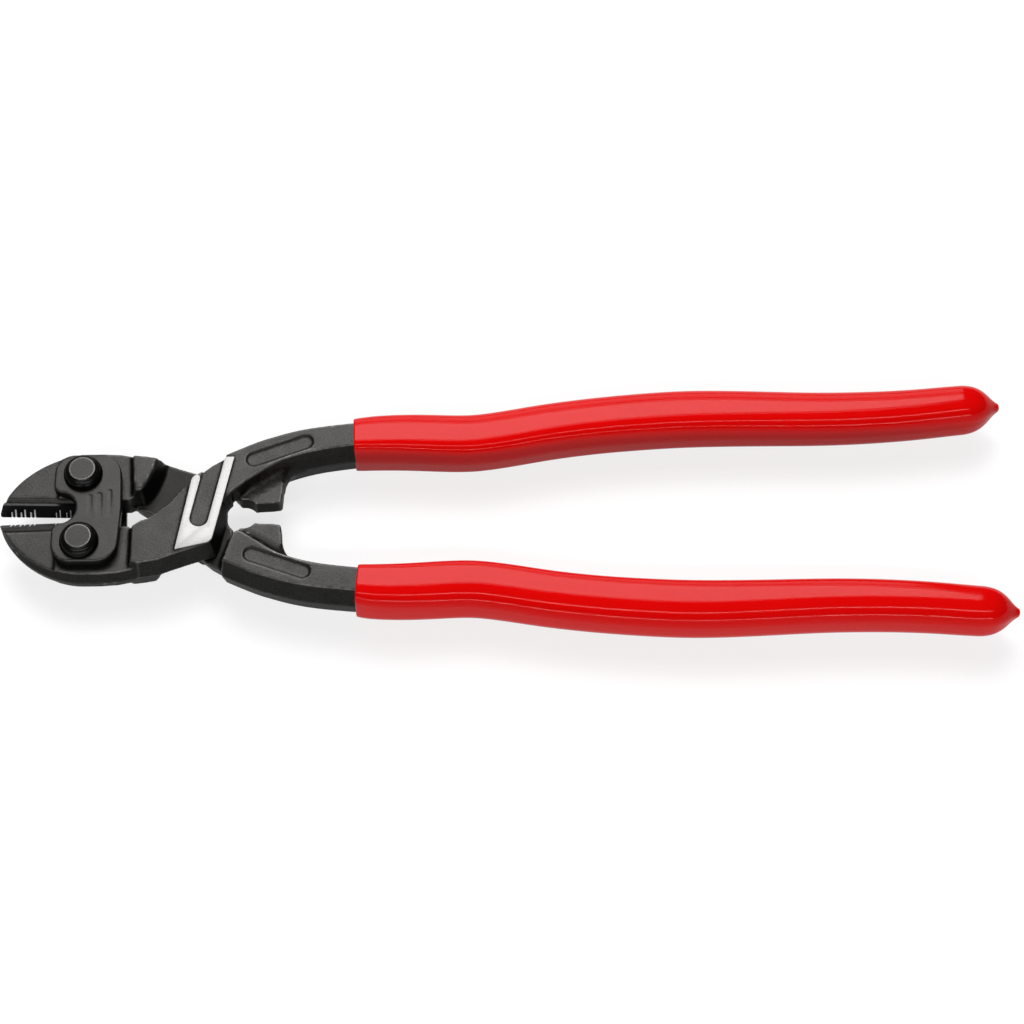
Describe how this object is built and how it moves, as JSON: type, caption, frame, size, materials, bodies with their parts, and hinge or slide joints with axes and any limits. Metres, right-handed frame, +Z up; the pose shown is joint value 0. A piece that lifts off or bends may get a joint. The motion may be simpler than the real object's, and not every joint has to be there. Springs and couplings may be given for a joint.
{
  "type": "compact bolt cutters",
  "caption": "Compact bolt cutters with forged crossed levers riveted between link plates, cutting jaws in front, gripping jaws behind the crossing and dipped grips.",
  "frame": {"origin": "under the middle of the object's box, on the plane of the back rivet heads that it lies on, with the levers at the slightly open rest pose", "axes": "+X from the jaws to the handle ends, +Y across the handles towards the upper handle, +Z up through the thickness, out of the front plate"},
  "size_m": [0.25, 0.0668, 0.019],
  "materials": {
    "forged_steel": "black phosphated forging, fine satin grain, ground bright on one stripe",
    "plate_steel": "black phosphated stamping, satin",
    "rivet_steel": "blackened, smooth, a little glossier than the levers",
    "red_dip": "glossy dipped plastic skin"
  },
  "bodies": {
    "hinge_block": {"front_link_plate": "plate_steel", "back_link_plate": "plate_steel", "upper_rivet": "rivet_steel", "lower_rivet": "rivet_steel"},
    "upper_handle": {"upper_handle_lever": "forged_steel", "upper_grip": "red_dip"},
    "lower_handle": {"lower_handle_lever": "forged_steel", "lower_grip": "red_dip"}
  },
  "joints": [
    {"name": "upper_handle_swing", "type": "hinge", "parent": "hinge_block", "child": "upper_handle", "pos_m": [-0.1041, -0.0094, 0.0095], "axis": [0, 0, 1], "range_deg": [-3.1, 10]},
    {"name": "lower_handle_swing", "type": "hinge", "parent": "hinge_block", "child": "lower_handle", "pos_m": [-0.1041, 0.0094, 0.0095], "axis": [0, 0, 1], "range_deg": [-10, 3.1]}
  ],
  "couplings": [
    {"joint": "lower_handle_swing", "follows": "upper_handle_swing", "ratio": -1}
  ]
}
